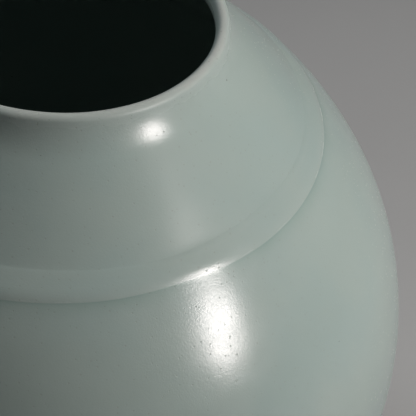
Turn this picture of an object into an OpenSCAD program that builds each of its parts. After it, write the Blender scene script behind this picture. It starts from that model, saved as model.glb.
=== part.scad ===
// Globular porcelain vase with a celadon glaze.
// It is thrown in three sections (lower body, upper body, mouth collar) that are luted together
// with slip. A strip of porcelain covers the shoulder seam, and a ring stands the vase up.
// Every section is a cross-section in the X-Y plane (X is the radius, Y the height) turned about Z.
// The origin is the centre of the foot ring's resting plane.

/* [Whole vase] */
// Height from the resting plane to the top of the lip
height = 191.6; // [189:0.1:195]
// Largest diameter, over the glaze
belly_d = 197; // [193:0.1:198]
// Height of the largest diameter, where the two halves of the body meet
belly_z = 88; // [87:0.1:89]

/* [Mouth collar] */
// Clear diameter of the mouth
mouth_d = 78.6; // [76:0.1:80]
// Radius of the rounded lip, over the glaze
lip_r = 1.7; // [1.4:0.1:2]
// Slope of the collar's straight stretch, in degrees from the horizontal
collar_slope = 48.5; // [48:0.1:49.5]
// Radius at which the collar starts to turn up into the lip
flare_r = 47.5; // [47:0.1:49]

/* [Shoulder band] */
// Diameter of the band's lower edge, over the glaze
band_d = 140.2; // [139:0.1:141]
// Height of the band's lower edge
band_z = 159; // [158.6:0.1:159.4]
// Width of the band's face
band_w = 6.8; // [6:0.1:8.5]
// Slope of the band's face, in degrees from the horizontal
band_slope = 39; // [38:0.5:41]
// How far the band's upper edge stands out of the collar
band_step = 0.7; // [0.6:0.05:0.9]

/* [Foot] */
// Outer diameter of the unglazed foot ring
foot_d = 108; // [100:1:112]
// Width of the foot ring
foot_w = 7; // [6:0.5:10]
// Height of the recessed base above the resting plane
base_z = 5; // [4:0.1:6]
// Height at which the glaze on the foot ring's outside ends
glaze_end_z = 2.5; // [2:0.1:3.5]

/* [Wall and glaze] */
// Thickness of the porcelain wall
wall_t = 4.2; // [3.5:0.1:5]
// Thickness of the porcelain floor
floor_t = 6; // [5:0.1:8]
// Thickness of the glaze coats
glaze_t = 0.6; // [0.4:0.05:0.8]
// Thickness of the slip in the luted seams
slip_t = 0.4; // [0.2:0.05:0.5]
// Thickness of the slip bed under the shoulder band
bed_t = 0.3; // [0.15:0.05:0.4]
// Height of the lap that locks the two halves of the body together
lap_h = 2.5; // [1.5:0.1:4]

/* [Hidden] */

$fn = 216;
BIG = 300;                                  // larger than the vase, for cutting regions
PORCELAIN = "#e6e4dc";
SLIP = "#d8d3c6";
CELADON = "#a9b5ad";

belly_c = [0, belly_z];                     // centre of the body's round section
belly_r = belly_d / 2;                      // glazed outside of the body
cavity_r = belly_r - wall_t - 2 * glaze_t;  // glazed inside of the body
floor_z = base_z + floor_t + glaze_t;       // glazed floor inside
foot_r = foot_d / 2;
foot_top = base_z + 7;                      // inside the lower body, above the ring's seam
foot_bevel = 1;

// The band's face runs from its upper edge to its lower edge
band_along = [cos(band_slope), -sin(band_slope)];
band_out = [sin(band_slope), cos(band_slope)];
band_low = [band_d / 2, band_z];
band_high = band_low - band_w * band_along;
band_root = 3.5;                            // how deep the band's outline reaches into the wall

// The shoulder seam lies on a line from the body's centre to the middle of the band
seam_p = (band_low + band_high) / 2 - belly_c;
seam_a = atan2(seam_p.x, seam_p.y);         // angle from the vertical
seam_dir = [sin(seam_a), cos(seam_a)];

// Lip, and the hollow flare that joins it to the collar's straight stretch
lip_c = [mouth_d / 2 + lip_r, height - lip_r];
collar_along = [cos(collar_slope), -sin(collar_slope)];
collar_out = [sin(collar_slope), cos(collar_slope)];
collar_low = band_high - band_step * band_out;
flare_start = collar_low - (collar_low.x - flare_r) / cos(collar_slope) * collar_along;
lip_to_flare = flare_start - lip_c;
flare_arc_r = (lip_to_flare * lip_to_flare - lip_r * lip_r) / (2 * (lip_r - lip_to_flare * collar_out));
flare_c = flare_start + flare_arc_r * collar_out;
lip_out_a = atan2(flare_c.y - lip_c.y, flare_c.x - lip_c.x);
core_a = (seam_a + atan2(lip_c.x, lip_c.y - belly_z)) / 2;

// The collar's inside is straight, from the seam to its tangent point on the lip
seam_in = belly_c + cavity_r * seam_dir;
lip_to_seam = seam_in - lip_c;
lip_in_a = atan2(lip_to_seam.y, lip_to_seam.x) - acos(lip_r / norm(lip_to_seam)) + 360;
inside_out = [cos(lip_in_a), sin(lip_in_a)];
inside_along = [-sin(lip_in_a), cos(lip_in_a)];
inside_reach = 5;                           // past the seam, inside the body's cavity

// Points on an arc about c, from angle a to angle b in n steps
function arc(c, r, a, b, n) = [for (i = [0:n]) let (t = a + (b - a) * i / n) c + r * [cos(t), sin(t)]];

// Where a line through p along dir meets the shoulder seam's line
function on_seam(p, dir) = let (q = p - belly_c)
    p - dir * (q.x * seam_dir.y - q.y * seam_dir.x) / (dir.x * seam_dir.y - dir.y * seam_dir.x);

// Collar's outside, d below the glaze's surface, from the seam up to the crest of the lip
function collar_outside(d) = concat(
    [on_seam(collar_low - d * collar_out, collar_along)],
    arc(flare_c, flare_arc_r + d, 270 - collar_slope, 180 + lip_out_a, 8),
    arc(lip_c, lip_r - d, lip_out_a, 90, 6));

// Collar's inside, d below the glaze's surface, from the crest of the lip to just past the seam
function collar_inside(d) = concat(
    arc(lip_c, lip_r - d, 90, lip_in_a, 10),
    [seam_in - d * inside_out + inside_reach * inside_along]);

// Cutting regions

module ball(r) translate(belly_c) circle(r);

module right_half() translate([0, -BIG]) square([BIG, 2 * BIG]);

module above(z) translate([0, z]) square([BIG, BIG]);

// Everything on the mouth's side of a line from the body's centre, at angle a from the vertical
// and moved e towards the mouth
module beyond(a, e) translate(belly_c) rotate(90 - a) translate([0, e]) square(BIG);

module above_seam(e) beyond(seam_a, e);

module half_ball(r) intersection() {
    ball(r);
    right_half();
}

// Everything below the stepped belly seam, moved up and out by e
module below_belly(e) {
    lap_r = belly_r - glaze_t - wall_t / 2 + e;
    polygon([[0, -BIG], [0, belly_z + lap_h + e], [lap_r, belly_z + lap_h + e],
        [lap_r, belly_z + e], [BIG, belly_z + e], [BIG, -BIG]]);
}

// Filled cross-sections, d below the glaze's surface

// Round body, ending inside the collar's section
module body_section(d) difference() {
    half_ball(belly_r - d);
    beyond(core_a, 0);
}

// Collar and outer half of the lip
module collar_section(d) polygon(concat([belly_c], collar_outside(d), [lip_c]));

// Band over the shoulder seam
module band_section(d) polygon([
    band_high + d * (band_along - band_out),
    band_low - d * (band_along + band_out),
    band_low - d * band_along - band_root * band_out,
    band_high + d * band_along - band_root * band_out]);

// Sections luted together, before the band is laid on
module sections(d) {
    body_section(d);
    collar_section(d);
}

// Whole outside of the vase
module envelope(d) {
    sections(d);
    band_section(d);
    square([foot_r + glaze_t - d, foot_top]);
}

// Space inside the body, above its floor
module cavity_section(d) intersection() {
    half_ball(cavity_r + d);
    above(floor_z - d);
}

// Space inside the collar and above the mouth
module mouth_section(d)
    polygon(concat([belly_c, [0, height + BIG], [lip_c.x, height + BIG]], collar_inside(d)));

module hollow(d) {
    cavity_section(d);
    mouth_section(d);
}

// Outline of the foot ring, running up into the body
module foot_section() polygon([
    [foot_r - foot_w + foot_bevel, 0], [foot_r - foot_bevel, 0], [foot_r, foot_bevel], [foot_r, foot_top],
    [foot_r - foot_w, foot_top], [foot_r - foot_w, foot_bevel]]);

// Underside of the lower body, grown by e
module underside(e) intersection() {
    ball(belly_r - glaze_t + e);
    above(base_z - e);
}

// Sub-parts

// Thrown lower half, with a flat base and a lap on its rim
module lower_body() color(PORCELAIN) rotate_extrude() difference() {
    intersection() {
        body_section(glaze_t);
        above(base_z);
        below_belly(-slip_t / 2);
    }
    hollow(glaze_t);
}

// Thrown upper half, from the belly seam to the shoulder seam
module upper_body() color(PORCELAIN) rotate_extrude() difference() {
    body_section(glaze_t);
    above_seam(-slip_t / 2);
    below_belly(slip_t / 2);
    hollow(glaze_t);
}

// Thrown collar with the rounded lip of the mouth
module mouth_collar() color(PORCELAIN) rotate_extrude() intersection() {
    polygon(concat(collar_outside(glaze_t), collar_inside(glaze_t)));
    above_seam(slip_t / 2);
}

// Strip of porcelain laid over the shoulder seam
module shoulder_band() color(PORCELAIN) rotate_extrude() difference() {
    band_section(glaze_t);
    sections(glaze_t - bed_t);
}

// Ring that the vase stands on, with an unglazed bevelled edge
module foot_ring() color(PORCELAIN) rotate_extrude() difference() {
    foot_section();
    underside(slip_t);
}

// Slip in the stepped seam between the two halves of the body
module belly_slip_joint() color(SLIP) rotate_extrude() difference() {
    intersection() {
        body_section(glaze_t);
        below_belly(slip_t / 2);
    }
    below_belly(-slip_t / 2);
    hollow(glaze_t);
}

// Slip in the seam between the upper body and the collar
module shoulder_slip_joint() color(SLIP) rotate_extrude() difference() {
    intersection() {
        sections(glaze_t);
        above_seam(-slip_t / 2);
    }
    above_seam(slip_t / 2);
    hollow(glaze_t);
}

// Slip that the shoulder band is laid in
module band_slip_bed() color(SLIP) rotate_extrude() difference() {
    intersection() {
        band_section(glaze_t);
        sections(glaze_t - bed_t);
    }
    sections(glaze_t);
}

// Slip between the foot ring and the lower body
module foot_slip_joint() color(SLIP) rotate_extrude() difference() {
    intersection() {
        foot_section();
        underside(slip_t);
    }
    underside(0);
}

// Glaze over one stretch of the outside, which is the child's filled cross-section
module coat() rotate_extrude() difference() {
    intersection() {
        children();
        above(glaze_end_z);
    }
    envelope(glaze_t);
}

// Glaze over one stretch of the inside
module lining() rotate_extrude() difference() {
    children();
    hollow(0);
}

// Glaze on the outside, from the crest of the lip to the foot ring
module outer_glaze() color(CELADON) {
    coat() body_section(0);
    coat() collar_section(0);
    coat() band_section(0);
    coat() square([foot_r + glaze_t, foot_top]);
}

// Glaze on the inside, from the crest of the lip to the floor
module inner_glaze() color(CELADON) {
    lining() cavity_section(glaze_t);
    lining() mouth_section(glaze_t);
}

// Glaze on the recessed base, inside the foot ring
module base_glaze() color(CELADON)
    translate([0, 0, base_z - glaze_t]) cylinder(h = glaze_t, r = foot_r - foot_w);

lower_body();
upper_body();
mouth_collar();
shoulder_band();
foot_ring();
belly_slip_joint();
shoulder_slip_joint();
band_slip_bed();
foot_slip_joint();
outer_glaze();
inner_glaze();
base_glaze();
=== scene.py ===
"""A globular celadon vase: one glossy glaze coat over thrown porcelain, on a pale studio floor."""
import math

import bmesh
import bpy
import numpy as np
from mathutils import Matrix, Vector, noise


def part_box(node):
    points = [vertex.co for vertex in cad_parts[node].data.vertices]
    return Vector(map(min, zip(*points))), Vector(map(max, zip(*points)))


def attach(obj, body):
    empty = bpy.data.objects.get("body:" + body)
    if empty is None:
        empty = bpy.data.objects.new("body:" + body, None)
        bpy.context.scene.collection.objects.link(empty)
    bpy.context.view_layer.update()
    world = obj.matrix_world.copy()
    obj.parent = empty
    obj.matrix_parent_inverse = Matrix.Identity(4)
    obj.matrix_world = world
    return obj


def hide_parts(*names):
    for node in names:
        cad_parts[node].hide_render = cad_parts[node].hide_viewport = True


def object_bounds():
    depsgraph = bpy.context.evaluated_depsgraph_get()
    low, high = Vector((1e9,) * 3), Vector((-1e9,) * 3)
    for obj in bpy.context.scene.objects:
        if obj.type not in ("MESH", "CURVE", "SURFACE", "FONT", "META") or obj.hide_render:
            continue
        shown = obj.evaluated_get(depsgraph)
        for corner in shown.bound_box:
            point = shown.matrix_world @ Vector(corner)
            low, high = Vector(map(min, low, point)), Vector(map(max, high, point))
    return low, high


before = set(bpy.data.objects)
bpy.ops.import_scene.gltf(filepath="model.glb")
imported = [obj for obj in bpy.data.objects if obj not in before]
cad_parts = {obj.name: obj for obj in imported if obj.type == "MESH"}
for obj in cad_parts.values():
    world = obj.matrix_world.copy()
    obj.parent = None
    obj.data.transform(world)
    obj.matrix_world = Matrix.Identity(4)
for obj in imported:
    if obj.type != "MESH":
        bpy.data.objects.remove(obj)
cad_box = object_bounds()

MM = 0.001

# ---------------------------------------------------------------- sizes, in metres

HEIGHT = cad_box[1].z
BELLY_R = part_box("outer_glaze")[1].x
FOOT_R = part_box("foot_ring")[1].x
FOOT_IN_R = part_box("base_glaze")[1].x
BASE_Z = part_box("base_glaze")[1].z
GLAZE_END_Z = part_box("outer_glaze")[0].z
GLAZE_T = 0.6 * MM
FLOOR_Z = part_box("inner_glaze")[0].z + GLAZE_T

BELLY_Z = 88 * MM
WALL_T = 4.2 * MM
CAVITY_R = BELLY_R - WALL_T - 2 * GLAZE_T
LIP_R = 1.7 * MM
MOUTH_R = 39.3 * MM
COLLAR_SLOPE = math.radians(47.2)
FLARE_START_R = 47.3 * MM
BAND_SLOPE = math.radians(39)
BAND_LOW = (70.1 * MM, 159 * MM)
BAND_W = 6.8 * MM
BAND_STEP = 0.2 * MM
EDGE_DROP = 0.42 * MM
SWELL_LENGTH = 32 * MM
NARROW_ANGLE = math.radians(-62)
NARROW_SPREAD = math.radians(13)
FOOT_TOP_Z = 6.8 * MM
FOOT_TAPER_Z = 2.6 * MM
COAT_T = 0.45 * MM

AROUND = 240
WINDOW_LEAN = -15
FLOOR_HALF = 8


# ---------------------------------------------------------------- the glazed surface's outline


def at(x, y):
    return np.array([x, y], float)


def polar(angle):
    return at(math.cos(angle), math.sin(angle))


def arc(centre, radius, start, end, count):
    """Points on an arc, angles in radians."""
    return [centre + radius * polar(t) for t in np.linspace(start, end, count)]


def soft_corner(before, corner, after, cut_in, cut_out, count):
    """A rounded corner that leaves its two lines cut_in before it and cut_out after it."""
    a = corner + (before - corner) / np.linalg.norm(before - corner) * cut_in
    b = corner + (after - corner) / np.linalg.norm(after - corner) * cut_out
    steps = np.linspace(0, 1, count)
    return [(1 - t) ** 2 * a + 2 * t * (1 - t) * corner + t * t * b for t in steps]


def between(a, b, count):
    """count points evenly spaced strictly between a and b."""
    return [a + (b - a) * i / (count + 1) for i in range(1, count + 1)]


LIP_C = at(MOUTH_R + LIP_R, HEIGHT - LIP_R)
BELLY_C = at(0, BELLY_Z)
BAND_ALONG = at(math.cos(BAND_SLOPE), -math.sin(BAND_SLOPE))
BAND_OUT = at(math.sin(BAND_SLOPE), math.cos(BAND_SLOPE))
COLLAR_ALONG = at(math.cos(COLLAR_SLOPE), -math.sin(COLLAR_SLOPE))
COLLAR_OUT = at(math.sin(COLLAR_SLOPE), math.cos(COLLAR_SLOPE))
COLLAR_LOW = at(*BAND_LOW) - BAND_W * BAND_ALONG - BAND_STEP * BAND_OUT
FLARE_START = COLLAR_LOW - (COLLAR_LOW[0] - FLARE_START_R) / math.cos(COLLAR_SLOPE) * COLLAR_ALONG
TO_FLARE = FLARE_START - LIP_C
FLARE_R = (TO_FLARE @ TO_FLARE - LIP_R**2) / (2 * (LIP_R - TO_FLARE @ COLLAR_OUT))
FLARE_C = FLARE_START + FLARE_R * COLLAR_OUT
LIP_OUT_A = math.atan2(FLARE_C[1] - LIP_C[1], FLARE_C[0] - LIP_C[0])


def outside(rise, drop):
    """The glazed outside from the lip's crest down to the foot, as [(point, thickness)].
    The band's upper edge is moved up the collar by rise and its lower edge down the body by drop.
    Thickness is how the glaze lies there: 0 is usual, -1 is run thin, 1 is pooled."""
    low = at(*BAND_LOW) + (drop - 1.2 * MM) * BAND_ALONG
    high = at(*BAND_LOW) - (BAND_W + rise - 0.3 * MM) * BAND_ALONG
    collar_foot = COLLAR_LOW - (rise + 0.8 * MM) * COLLAR_ALONG
    reach = low - BELLY_C
    under_a = math.atan2(reach[1], reach[0]) - 2.1 * MM / BELLY_R
    swell = np.linalg.norm(reach) - BELLY_R - EDGE_DROP
    foot_wall = FOOT_R + GLAZE_T
    meet_a = -math.acos(foot_wall / BELLY_R)
    body_start = under_a - 5.5 * MM / BELLY_R
    body_end = meet_a + 4 * MM / BELLY_R

    def body(a):
        """The body's outside at angle a from level: round, and a little fuller near the band."""
        near = max(0, 1 - (under_a - a) * BELLY_R / SWELL_LENGTH)
        return BELLY_C + (BELLY_R + swell * near**2) * polar(a)

    under = body(under_a)
    meet = BELLY_C + BELLY_R * polar(meet_a)
    end = at(foot_wall - 0.3 * MM, GLAZE_END_Z)
    end_wall = at(foot_wall, GLAZE_END_Z + 1.2 * MM)
    # the coat's lower end reaches in to the foot, so that no slit shows beside it
    seal = at(FOOT_R - 0.34 * MM, GLAZE_END_Z + 0.25 * MM)
    body_last = body(body_end)
    top_pool = soft_corner(FLARE_START, collar_foot, high, 2.5 * MM, 0.45 * MM, 9)
    top_edge = soft_corner(collar_foot, high, low, 0.45 * MM, 1.0 * MM, 9)
    low_edge = soft_corner(high, low, under, 1.9 * MM, 1.5 * MM, 16)
    low_pool = soft_corner(low, under, body(body_start), 0.4 * MM, 4 * MM, 16)
    stretches = [
        (arc(LIP_C, LIP_R, math.pi / 2, LIP_OUT_A, 10), -1, -0.75),
        (arc(FLARE_C, FLARE_R, math.pi + LIP_OUT_A, 1.5 * math.pi - COLLAR_SLOPE, 16)[1:], -0.6, 0),
        (between(FLARE_START, top_pool[0], 13), 0, 0),
        (top_pool, 0, 0.3),
        (top_edge, -0.1, -0.3),
        (between(top_edge[-1], low_edge[0], 3), -0.15, -0.15),
        (low_edge, -0.15, -0.5),
        (low_pool, 0.8, 0.2),
        ([body(a) for a in np.linspace(body_start, body_end, 88)[1:-1]], 0.1, 0.15),
        (soft_corner(body_last, meet, end_wall, 4 * MM, 2.4 * MM, 9), 0.3, 0.8),
        ([end_wall, end, seal], 0.5, -0.3),
    ]
    return [pair for line, a, b in stretches for pair in zip(line, np.linspace(a, b, len(line)))]


def inside():
    """The glazed inside from the lip's crest down to the middle of the floor."""
    to_seam = at(*BAND_LOW) - 0.5 * BAND_W * BAND_ALONG - BELLY_C
    seam_a = math.atan2(to_seam[1], to_seam[0])
    seam = BELLY_C + CAVITY_R * polar(seam_a)
    crest = at(LIP_C[0], HEIGHT)
    inner_edge = at(MOUTH_R, HEIGHT)
    throat = at(MOUTH_R, HEIGHT - 5.5 * MM)
    floor_a = math.asin((FLOOR_Z - BELLY_Z) / CAVITY_R)
    cavity_top = BELLY_C + CAVITY_R * polar(seam_a - 5 * MM / CAVITY_R)
    cavity_low = BELLY_C + CAVITY_R * polar(floor_a + 6 * MM / CAVITY_R)
    floor_edge = BELLY_C + CAVITY_R * polar(floor_a)
    middle = at(0, FLOOR_Z)
    lip = soft_corner(crest, inner_edge, throat, LIP_R, 3.2 * MM, 12)
    neck = soft_corner(inner_edge, throat, seam, 2.2 * MM, 4 * MM, 7)
    bend = soft_corner(throat, seam, cavity_top, 5 * MM, 5 * MM, 7)
    heel = soft_corner(cavity_low, floor_edge, middle, 6 * MM, 9 * MM, 8)
    stretches = [
        (lip[1:], -1, -0.5),
        (neck, -0.4, -0.2),
        (between(neck[-1], bend[0], 12), -0.2, 0),
        (bend, 0, 0.2),
        (arc(BELLY_C, CAVITY_R, seam_a - 5 * MM / CAVITY_R, floor_a + 6 * MM / CAVITY_R, 50)[1:-1], 0, 0),
        (heel, 0.3, 0.5),
        (between(heel[-1], middle, 9) + [middle], 0.3, 0.3),
    ]
    return [pair for line, a, b in stretches for pair in zip(line, np.linspace(a, b, len(line)))]


def noise3(x, y, z, size):
    """Smooth noise from -1 to 1 with lumps of about that size, in metres."""
    return noise.noise(Vector((x, y, z)) / size)


def hand(angle, height):
    """How far the thrown surface lies in from a true circle, in metres, never less than 0."""
    x, y = math.cos(angle), math.sin(angle)
    lumps = 0.05 * MM * noise3(x * BELLY_R, y * BELLY_R, height, 24 * MM)
    out_of_round = 0.06 * MM * math.cos(2 * angle + 0.7 + 9 * height)
    spiral = 0.012 * MM * math.sin(2 * math.pi * height / (7.5 * MM) + angle)
    return 0.13 * MM + lumps + out_of_round + spiral


def band_wave(angle, seed):
    """A slow unevenness round the band, about -1 to 1."""
    x, y = 60 * MM * math.cos(angle), 60 * MM * math.sin(angle)
    return noise3(x, y, seed, 38 * MM) + 0.35 * noise3(x, y, seed, 13 * MM)


def narrowing(angle):
    """1 where the hand-laid band runs narrowest, at the front right, and 0 away from there."""
    away = math.remainder(angle - NARROW_ANGLE, 2 * math.pi)
    return math.exp(-((away / NARROW_SPREAD) ** 2))


def offset_back(points, depth):
    """Points of the coat's hidden side, depth behind the shown ones."""
    back = []
    for k, p in enumerate(points):
        along = points[min(k + 1, len(points) - 1)] - points[max(k - 1, 0)]
        along = along / np.linalg.norm(along)
        back.append(p + depth * at(along[1], -along[0]))
    back[0][0] = 0
    return back


def lathe(name, loops, closed_at_axis):
    """A closed mesh from one loop of (radius, height) points for each angle round the axis.
    closed_at_axis says that each loop's first and last points lie on the axis."""
    count = len(loops)
    kept = slice(1, -1) if closed_at_axis else slice(None)
    ring = len(loops[0][kept])
    vertices = []
    for k, loop in enumerate(loops):
        angle = 2 * math.pi * k / count
        vertices += [(p[0] * math.cos(angle), p[0] * math.sin(angle), p[1]) for p in loop[kept]]
    top, bottom = len(vertices), len(vertices) + 1
    if closed_at_axis:
        vertices += [(0, 0, loops[0][0][1]), (0, 0, loops[0][-1][1])]
    faces = []
    for k in range(count):
        here, there = k * ring, (k + 1) % count * ring
        faces += [(here + j, here + j + 1, there + j + 1, there + j) for j in range(ring - 1)]
        if closed_at_axis:
            faces += [(top, here, there), (here + ring - 1, bottom, there + ring - 1)]
        else:
            faces.append((here + ring - 1, here, there, there + ring - 1))
    mesh = bpy.data.meshes.new(name)
    mesh.from_pydata(vertices, [], faces)
    shell = bmesh.new()
    shell.from_mesh(mesh)
    bmesh.ops.recalc_face_normals(shell, faces=shell.faces)
    shell.to_mesh(mesh)
    shell.free()
    mesh.polygons.foreach_set("use_smooth", [True] * len(mesh.polygons))
    piece = bpy.data.objects.new(name, mesh)
    bpy.context.collection.objects.link(piece)
    return piece


def add_glaze_coat():
    """The glossy coat, outside and inside, as one closed skin that ends above the bare foot ring."""
    loops = []
    thickness = []
    inner = inside()
    for k in range(AROUND):
        angle = 2 * math.pi * k / AROUND
        rise = (0.1 + 0.3 * band_wave(angle, 0.0) - 0.7 * narrowing(angle)) * MM
        drop = (0.2 * band_wave(angle, 0.31) - 0.6 * narrowing(angle)) * MM
        shown = inner[::-1] + outside(rise, drop)
        points = []
        for p, _ in shown:
            fade = min(1, p[0] / (30 * MM)) * min(1, max(0, (p[1] - GLAZE_END_Z) / (12 * MM)))
            points.append(at(p[0] - fade * hand(angle, p[1]), p[1]))
        back = offset_back(points, COAT_T)
        hidden = [back[j] for j in range(len(back) - 1, 0, -3)] + [back[0]]
        loops.append(points + hidden)
        thickness += [t for _, t in shown][1:] + [0] * (len(hidden) - 1)
    piece = lathe("glaze_coat", loops, True)
    layer = piece.data.attributes.new("glaze", "FLOAT", "POINT")
    layer.data.foreach_set("value", thickness + [0.3, 0])
    return piece


def add_foot_ring():
    """The bare turned foot, with softly rounded edges on which the vase rests."""
    inner, outer = FOOT_IN_R, FOOT_R
    in_top, out_top = at(inner, FOOT_TOP_Z), at(outer, FOOT_TOP_Z)
    in_low, out_low = at(inner + 0.5 * MM, 0), at(outer - 0.3 * MM, 0)
    taper = at(inner, FOOT_TAPER_Z)
    low_in = soft_corner(taper, in_low, out_low, 1.3 * MM, 1.3 * MM, 7)
    low_out = soft_corner(in_low, out_low, out_top, 1.1 * MM, 1.3 * MM, 7)
    flat = between(low_in[-1], low_out[0], 3)
    loops = []
    for k in range(AROUND):
        angle = 2 * math.pi * k / AROUND
        cut = 0.06 * MM * (1 + noise3(math.cos(angle) * outer, math.sin(angle) * outer, 0.4, 16 * MM))
        line = [in_top, taper] + low_in + flat + low_out + [out_top]
        loops.append([at(p[0] - cut * (p[0] > (inner + outer) / 2), p[1]) for p in line])
    return lathe("turned_foot", loops, False)


def add_base_glaze():
    """The glaze under the base, pooled where it meets the inside of the foot."""
    low = BASE_Z - GLAZE_T
    wall = FOOT_IN_R + 0.02 * MM
    middle = at(0, low + 0.3 * MM)
    line = [at(0, BASE_Z), at(30 * MM, BASE_Z), at(wall, BASE_Z), at(wall, low - 1.6 * MM)]
    line += soft_corner(at(wall, 0), at(wall - 0.25 * MM, low), middle, 1.2 * MM, 1.6 * MM, 7)
    line += between(line[-1], middle, 14) + [middle]
    return lathe("base_glaze_coat", [line] * AROUND, True)


# ---------------------------------------------------------------- materials


def add(tree, kind, inputs=None, **settings):
    """A shader node; inputs are values or the sockets that feed them."""
    new = tree.nodes.new("ShaderNode" + kind)
    for key, value in settings.items():
        setattr(new, key, value)
    for key, value in (inputs or {}).items():
        if isinstance(value, bpy.types.NodeSocket):
            tree.links.new(value, new.inputs[key])
        else:
            new.inputs[key].default_value = value
    return new


def math_node(tree, operation, a, b=0.0, clamp=False):
    return add(tree, "Math", {0: a, 1: b}, operation=operation, use_clamp=clamp).outputs[0]


def ramp(tree, value, low, high, to_low=0.0, to_high=1.0):
    """value carried smoothly from low..high to to_low..to_high."""
    inputs = {"Value": value, "From Min": low, "From Max": high, "To Min": to_low, "To Max": to_high}
    return add(tree, "MapRange", inputs, interpolation_type="SMOOTHSTEP").outputs[0]


def mix(tree, factor, a, b):
    return add(tree, "Mix", {0: factor, 6: a, 7: b}, data_type="RGBA").outputs[2]


def grain(tree, place, size, detail=2.0, roughness=0.5):
    """Noise with lumps of about that size, in metres."""
    inputs = {"Vector": place, "Scale": 1 / size, "Detail": detail, "Roughness": roughness}
    return add(tree, "TexNoise", inputs).outputs["Fac"]


def spots(tree, place, cell, radius, share):
    """1 inside scattered round spots of about that radius, one for some of the cells, else 0."""
    cells = add(tree, "TexVoronoi", {"Vector": place, "Scale": 1 / cell, "Randomness": 1.0})
    pick = add(tree, "SeparateColor", {0: cells.outputs["Color"]})
    size = ramp(tree, pick.outputs[0], 0.0, 1.0, 0.5 * radius / cell, radius / cell)
    edge = math_node(tree, "DIVIDE", cells.outputs["Distance"], size)
    inside_spot = ramp(tree, edge, 1.0, 0.6)
    kept = math_node(tree, "LESS_THAN", pick.outputs[1], share)
    return math_node(tree, "MULTIPLY", inside_spot, kept)


def material(name):
    """A new material with its node tree, Principled shader and object-space position."""
    made = bpy.data.materials.new(name)
    made.use_nodes = True
    tree = made.node_tree
    shader = tree.nodes["Principled BSDF"]
    place = add(tree, "TexCoord").outputs["Object"]
    return made, tree, shader, place


def feed(tree, shader, **sockets):
    for name, value in sockets.items():
        socket = shader.inputs[name.replace("_", " ")]
        if isinstance(value, bpy.types.NodeSocket):
            tree.links.new(value, socket)
        else:
            socket.default_value = value


CELADON = (0.366, 0.442, 0.419, 1)
CELADON_WARM = (0.385, 0.452, 0.423, 1)
CELADON_POOL = (0.285, 0.370, 0.340, 1)
CELADON_THIN = (0.402, 0.463, 0.436, 1)
BODY_WHITE = (0.445, 0.475, 0.447, 1)
# the dark of iron specks, also used to paint shade into the glaze's pinholes
SPECK_AND_PIT_SHADE = (0.105, 0.085, 0.060, 1)


def glaze_material():
    made, tree, shader, place = material("celadon_glaze")
    thickness = add(tree, "Attribute", attribute_name="glaze").outputs["Fac"]
    tone = ramp(tree, grain(tree, place, 34 * MM, 3.0), 0.35, 0.65)
    cloud = ramp(tree, grain(tree, place, 8 * MM, 3.0, 0.5), 0.3, 0.7)
    uneven = math_node(tree, "MULTIPLY_ADD", cloud, 0.12)
    uneven.node.inputs[2].default_value = -0.06
    lies = math_node(tree, "ADD", thickness, uneven)
    colour = mix(tree, tone, CELADON, CELADON_WARM)
    colour = mix(tree, ramp(tree, lies, 0.15, 1.1), colour, CELADON_POOL)
    colour = mix(tree, ramp(tree, lies, -0.12, -0.75), colour, CELADON_THIN)
    colour = mix(tree, ramp(tree, lies, -0.7, -1.0), colour, BODY_WHITE)
    specks = spots(tree, place, 7 * MM, 0.26 * MM, 0.8)
    pits = spots(tree, place, 1.3 * MM, 0.29 * MM, 0.65)
    colour = mix(tree, math_node(tree, "MULTIPLY", specks, 0.75), colour, SPECK_AND_PIT_SHADE)
    # painted shade: the pinholes' colour is darkened towards the speck colour, standing in for the shade
    # in them
    colour = mix(tree, math_node(tree, "MULTIPLY", pits, 0.22), colour, SPECK_AND_PIT_SHADE)
    peel = grain(tree, place, 1.4 * MM, 2.0, 0.5)
    fine = grain(tree, place, 0.45 * MM, 2.0, 0.6)
    height = math_node(tree, "MULTIPLY_ADD", peel, 0.35)
    tree.links.new(fine, height.node.inputs[2])
    height = math_node(tree, "SUBTRACT", height, math_node(tree, "MULTIPLY", pits, 0.6))
    bump = add(tree, "Bump", {"Height": height, "Strength": 1.0, "Distance": 0.021 * MM})
    gloss = ramp(tree, grain(tree, place, 9 * MM, 3.0), 0.3, 0.7, 0.205, 0.245)
    gloss = math_node(tree, "MAXIMUM", gloss, ramp(tree, lies, 0.0, -0.9, 0.0, 0.45))
    gloss = math_node(tree, "MAXIMUM", gloss, math_node(tree, "MULTIPLY", pits, 0.7))
    feed(tree, shader, Base_Color=colour, Roughness=gloss, Normal=bump.outputs[0], IOR=1.5)
    feed(tree, shader, Subsurface_Weight=0.15, Subsurface_Radius=(1.0, 1.0, 0.9))
    feed(tree, shader, Subsurface_Scale=1.2 * MM)
    return made


def porcelain_material():
    """Bare fired porcelain: warm white and matt, with fine grain and a few dark grains."""
    made, tree, shader, place = material("bare_porcelain")
    cloud = ramp(tree, grain(tree, place, 14 * MM, 4.0), 0.3, 0.7)
    colour = mix(tree, cloud, (0.70, 0.655, 0.585, 1), (0.765, 0.72, 0.65, 1))
    height_z = add(tree, "SeparateXYZ", {0: place}).outputs["Z"]
    flashed = ramp(tree, height_z, 1.0 * MM, 2.6 * MM, 0.0, 0.55)
    colour = mix(tree, flashed, colour, (0.62, 0.47, 0.34, 1))
    specks = spots(tree, place, 3.2 * MM, 0.18 * MM, 0.7)
    colour = mix(tree, math_node(tree, "MULTIPLY", specks, 0.7), colour, SPECK_AND_PIT_SHADE)
    sand = grain(tree, place, 0.35 * MM, 3.0, 0.6)
    bump = add(tree, "Bump", {"Height": sand, "Strength": 0.6, "Distance": 0.05 * MM})
    rough = ramp(tree, cloud, 0.0, 1.0, 0.62, 0.78)
    feed(tree, shader, Base_Color=colour, Roughness=rough, Normal=bump.outputs[0], IOR=1.5)
    return made


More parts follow.
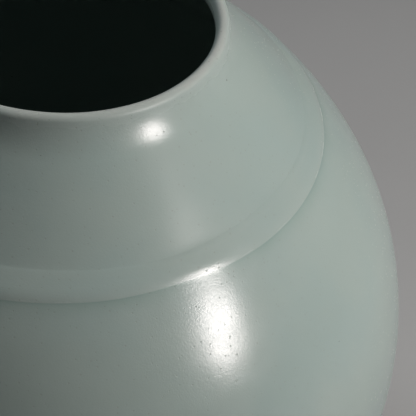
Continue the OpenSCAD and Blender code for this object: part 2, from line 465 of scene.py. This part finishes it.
def slip_material():
    """Fired slip in the luted joints: like the porcelain, finer and a little creamier."""
    made, tree, shader, place = material("fired_slip")
    cloud = ramp(tree, grain(tree, place, 4 * MM, 3.0), 0.3, 0.7)
    colour = mix(tree, cloud, (0.64, 0.59, 0.50, 1), (0.72, 0.66, 0.57, 1))
    brushed = grain(tree, place, 0.8 * MM, 2.0, 0.5)
    bump = add(tree, "Bump", {"Height": brushed, "Strength": 0.5, "Distance": 0.05 * MM})
    rough = ramp(tree, brushed, 0.3, 0.7, 0.66, 0.8)
    feed(tree, shader, Base_Color=colour, Roughness=rough, Normal=bump.outputs[0], IOR=1.5)
    return made


def floor_material():
    made, tree, shader, place = material("pale_floor")
    cloud = ramp(tree, grain(tree, place, 0.22, 4.0), 0.3, 0.7)
    colour = mix(tree, cloud, (0.43, 0.43, 0.425, 1), (0.46, 0.46, 0.455, 1))
    tooth = grain(tree, place, 1.5 * MM, 3.0)
    bump = add(tree, "Bump", {"Height": tooth, "Strength": 0.3, "Distance": 0.2 * MM})
    feed(tree, shader, Base_Color=colour, Roughness=0.75, Normal=bump.outputs[0])
    return made


def wear(piece, made):
    piece.data.materials.clear()
    piece.data.materials.append(made)


# ---------------------------------------------------------------- camera, floor and light


def add_camera():
    """The photograph's view: close, from the front, looking down on the right of the shoulder."""
    data = bpy.data.cameras.new("camera")
    data.sensor_width = 36
    data.lens = 173.08
    data.clip_start = 0.02
    data.clip_end = 50
    camera = bpy.data.objects.new("camera", data)
    bpy.context.collection.objects.link(camera)
    yaw, pitch, roll = math.radians(-5.95), math.radians(41.72), math.radians(5.84)
    turn = Matrix.Rotation(yaw, 3, "Z") @ Matrix.Rotation(math.pi / 2 - pitch, 3, "X")
    turn = turn @ Matrix.Rotation(roll, 3, "Z")
    camera.matrix_world = Matrix.Translation((0, -0.4030, 0.4884)) @ turn.to_4x4()
    bpy.context.scene.camera = camera


def add_floor():
    mesh = bpy.data.meshes.new("floor")
    corners = [(x * FLOOR_HALF, y * FLOOR_HALF, 0) for x, y in ((-1, -1), (1, -1), (1, 1), (-1, 1))]
    mesh.from_pydata(corners, [], [(0, 1, 2, 3)])
    floor = bpy.data.objects.new("floor", mesh)
    bpy.context.collection.objects.link(floor)
    wear(floor, floor_material())


def towards(azimuth, elevation):
    """Unit vector towards a light. Azimuth is from the front, -Y, round to the right, +X, in degrees."""
    a, e = math.radians(azimuth), math.radians(elevation)
    return Vector((math.sin(a) * math.cos(e), -math.cos(a) * math.cos(e), math.sin(e)))


def add_area_light(name, azimuth, elevation, distance, width, height, power, colour, lean=0, gives="both"):
    """A soft elliptical light. It gives "shine", the reflection only, "glow", all but that, or "both"."""
    data = bpy.data.lights.new(name, "AREA")
    data.shape = "ELLIPSE"
    data.size = width
    data.size_y = height
    data.energy = power
    data.color = colour
    light = bpy.data.objects.new(name, data)
    bpy.context.collection.objects.link(light)
    aim = Vector((0.03, -0.05, 0.14))
    way = towards(azimuth, elevation)
    light.location = aim + distance * way
    turn = way.to_track_quat("Z", "Y") @ Matrix.Rotation(math.radians(lean), 3, "Z").to_quaternion()
    light.rotation_euler = turn.to_euler()
    light.visible_camera = False
    light.visible_glossy = gives != "glow"
    light.visible_diffuse = gives != "shine"


def add_world():
    world = bpy.data.worlds.new("studio")
    bpy.context.scene.world = world
    world.use_nodes = True
    back = world.node_tree.nodes["Background"]
    back.inputs["Color"].default_value = (0.92, 0.96, 1.0, 1)
    back.inputs["Strength"].default_value = 0.03


# ---------------------------------------------------------------- the scene

add_camera()
add_floor()
add_world()
add_area_light("window", 58.5, 19.1, 0.6, 0.112, 0.25, 1.9, (1, 0.925, 0.915), WINDOW_LEAN, "shine")
add_area_light("window_glow", 78, 40, 0.6, 0.35, 0.35, 3.0, (1, 0.965, 0.95), 0, "glow")
add_area_light("back_fill", 232, 35, 2.0, 1.0, 1.0, 10, (0.93, 0.97, 1))

glaze = glaze_material()
porcelain = porcelain_material()
slip = slip_material()

coat = add_glaze_coat()
wear(coat, glaze)
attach(coat, "root")
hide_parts("outer_glaze", "inner_glaze")

foot = add_foot_ring()
wear(foot, porcelain)
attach(foot, "root")
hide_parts("foot_ring")

base = add_base_glaze()
wear(base, glaze)
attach(base, "root")
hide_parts("base_glaze")

for name in ("lower_body", "upper_body", "mouth_collar", "shoulder_band"):
    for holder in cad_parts[name].material_slots:
        holder.material = porcelain
for name in ("belly_slip_joint", "shoulder_slip_joint", "band_slip_bed", "foot_slip_joint"):
    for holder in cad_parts[name].material_slots:
        holder.material = slip

bpy.context.scene.view_settings.view_transform = "Standard"
bpy.context.scene.view_settings.look = "Medium High Contrast"
